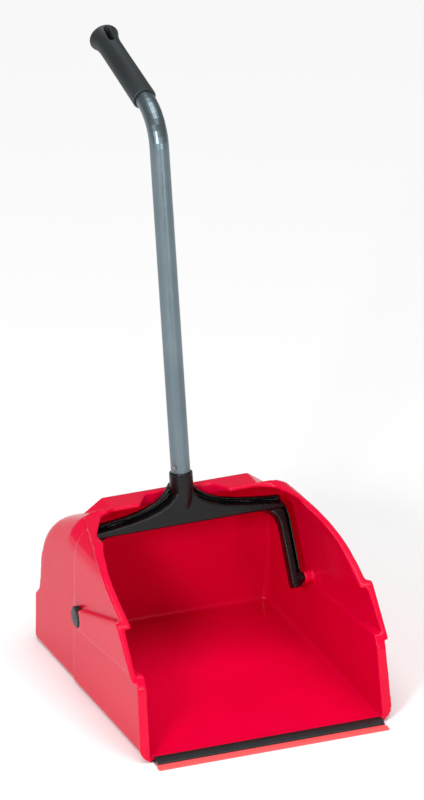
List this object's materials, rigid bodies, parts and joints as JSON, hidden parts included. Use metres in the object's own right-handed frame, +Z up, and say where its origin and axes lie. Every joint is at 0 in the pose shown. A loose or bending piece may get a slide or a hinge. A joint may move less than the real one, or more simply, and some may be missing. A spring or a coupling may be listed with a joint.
{
  "type": "long-handled dustpan",
  "caption": "Upright lobby dustpan: red moulded scoop with a hood and a rubber lip, black tilting yoke and a bent aluminium tube handle with a flared grip.",
  "frame": {"origin": "on the ground under the middle of the scoop's floor, halfway between its side walls", "axes": "+X to the right across the scoop seen from its mouth, +Y towards the rear wall, +Z up; the mouth faces -Y"},
  "size_m": [0.35, 0.5836, 0.7673],
  "materials": {
    "red_plastic": "glossy moulded polypropylene",
    "coral_lip": "soft satin",
    "black_plastic": "satin",
    "grip_plastic": "fine matt texture",
    "aluminium": "satin drawn tube",
    "steel": "plain rivet head"
  },
  "bodies": {
    "scoop": {"pan_shell": "red_plastic", "lip_carrier": "black_plastic", "lip_blade": "coral_lip", "pivot_pin_left": "black_plastic", "pivot_pin_right": "black_plastic"},
    "handle": {"yoke": "black_plastic", "handle_tube": "aluminium", "tube_rivet": "steel", "grip": "grip_plastic"}
  },
  "joints": [
    {"name": "handle_tilt", "type": "hinge", "parent": "scoop", "child": "handle", "pos_m": [0, 0.036, 0.103], "axis": [1, 0, 0], "range_deg": [0, 100]}
  ]
}
